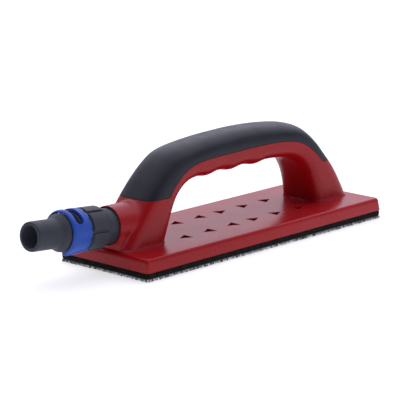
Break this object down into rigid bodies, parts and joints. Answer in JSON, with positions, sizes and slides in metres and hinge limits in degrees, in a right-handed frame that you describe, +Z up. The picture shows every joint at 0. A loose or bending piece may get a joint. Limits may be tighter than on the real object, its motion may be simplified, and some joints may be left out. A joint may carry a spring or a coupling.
{
  "type": "sanding block",
  "caption": "Rectangular hand sanding block with a D-shaped handle, a soft grip, a foam and hook sole, and a swivelling tilted dust-hose connector with an air regulator ring.",
  "frame": {"origin": "centre of the flat sanding face, under the hook sheet", "axes": "+Z up from the sanding face, +X along the sole away from the hose connector, +Y across the sole"},
  "size_m": [0.2959, 0.08, 0.0764],
  "materials": {
    "red_plastic": "satin red injection-moulded plastic",
    "soft_grip": "dark slate-grey soft-touch elastomer",
    "black_plastic": "satin near-black plastic",
    "blue_plastic": "satin blue plastic",
    "black_rubber": "black seal rubber",
    "foam": "dense black closed-cell foam",
    "hook_fabric": "dark hook fabric with pale filament tips",
    "grey_plastic": "grey moulded plastic",
    "acetal": "natural white acetal",
    "zinc_steel": "zinc-plated steel"
  },
  "bodies": {
    "block": {"hook_sheet": "hook_fabric", "foam_pad": "foam", "sole_plate": "grey_plastic", "base_housing": "red_plastic", "handle_body": "red_plastic", "grip_overmould": "soft_grip", "duct_gasket": "black_rubber", "swivel_bush": "acetal", "sole_screw_1": "zinc_steel", "sole_screw_2": "zinc_steel", "sole_screw_3": "zinc_steel", "sole_screw_4": "zinc_steel", "sole_screw_5": "zinc_steel", "sole_screw_6": "zinc_steel", "handle_screw_1": "zinc_steel", "handle_screw_2": "zinc_steel", "handle_screw_3": "zinc_steel", "handle_screw_4": "zinc_steel"},
    "connector": {"hose_spigot": "black_plastic", "swivel_collar": "black_plastic", "socket_o_ring": "black_rubber", "retaining_ring": "zinc_steel"},
    "regulator": {"regulator_ring": "blue_plastic"}
  },
  "joints": [
    {"name": "connector_swivel", "type": "hinge", "parent": "block", "child": "connector", "pos_m": [-0.113, 0, 0.03], "axis": [-0.9968, 0, 0.0802], "continuous": true},
    {"name": "regulator_turn", "type": "hinge", "parent": "connector", "child": "regulator", "pos_m": [-0.113, 0, 0.03], "axis": [-0.9968, 0, 0.0802], "range_deg": [0, 65]}
  ]
}
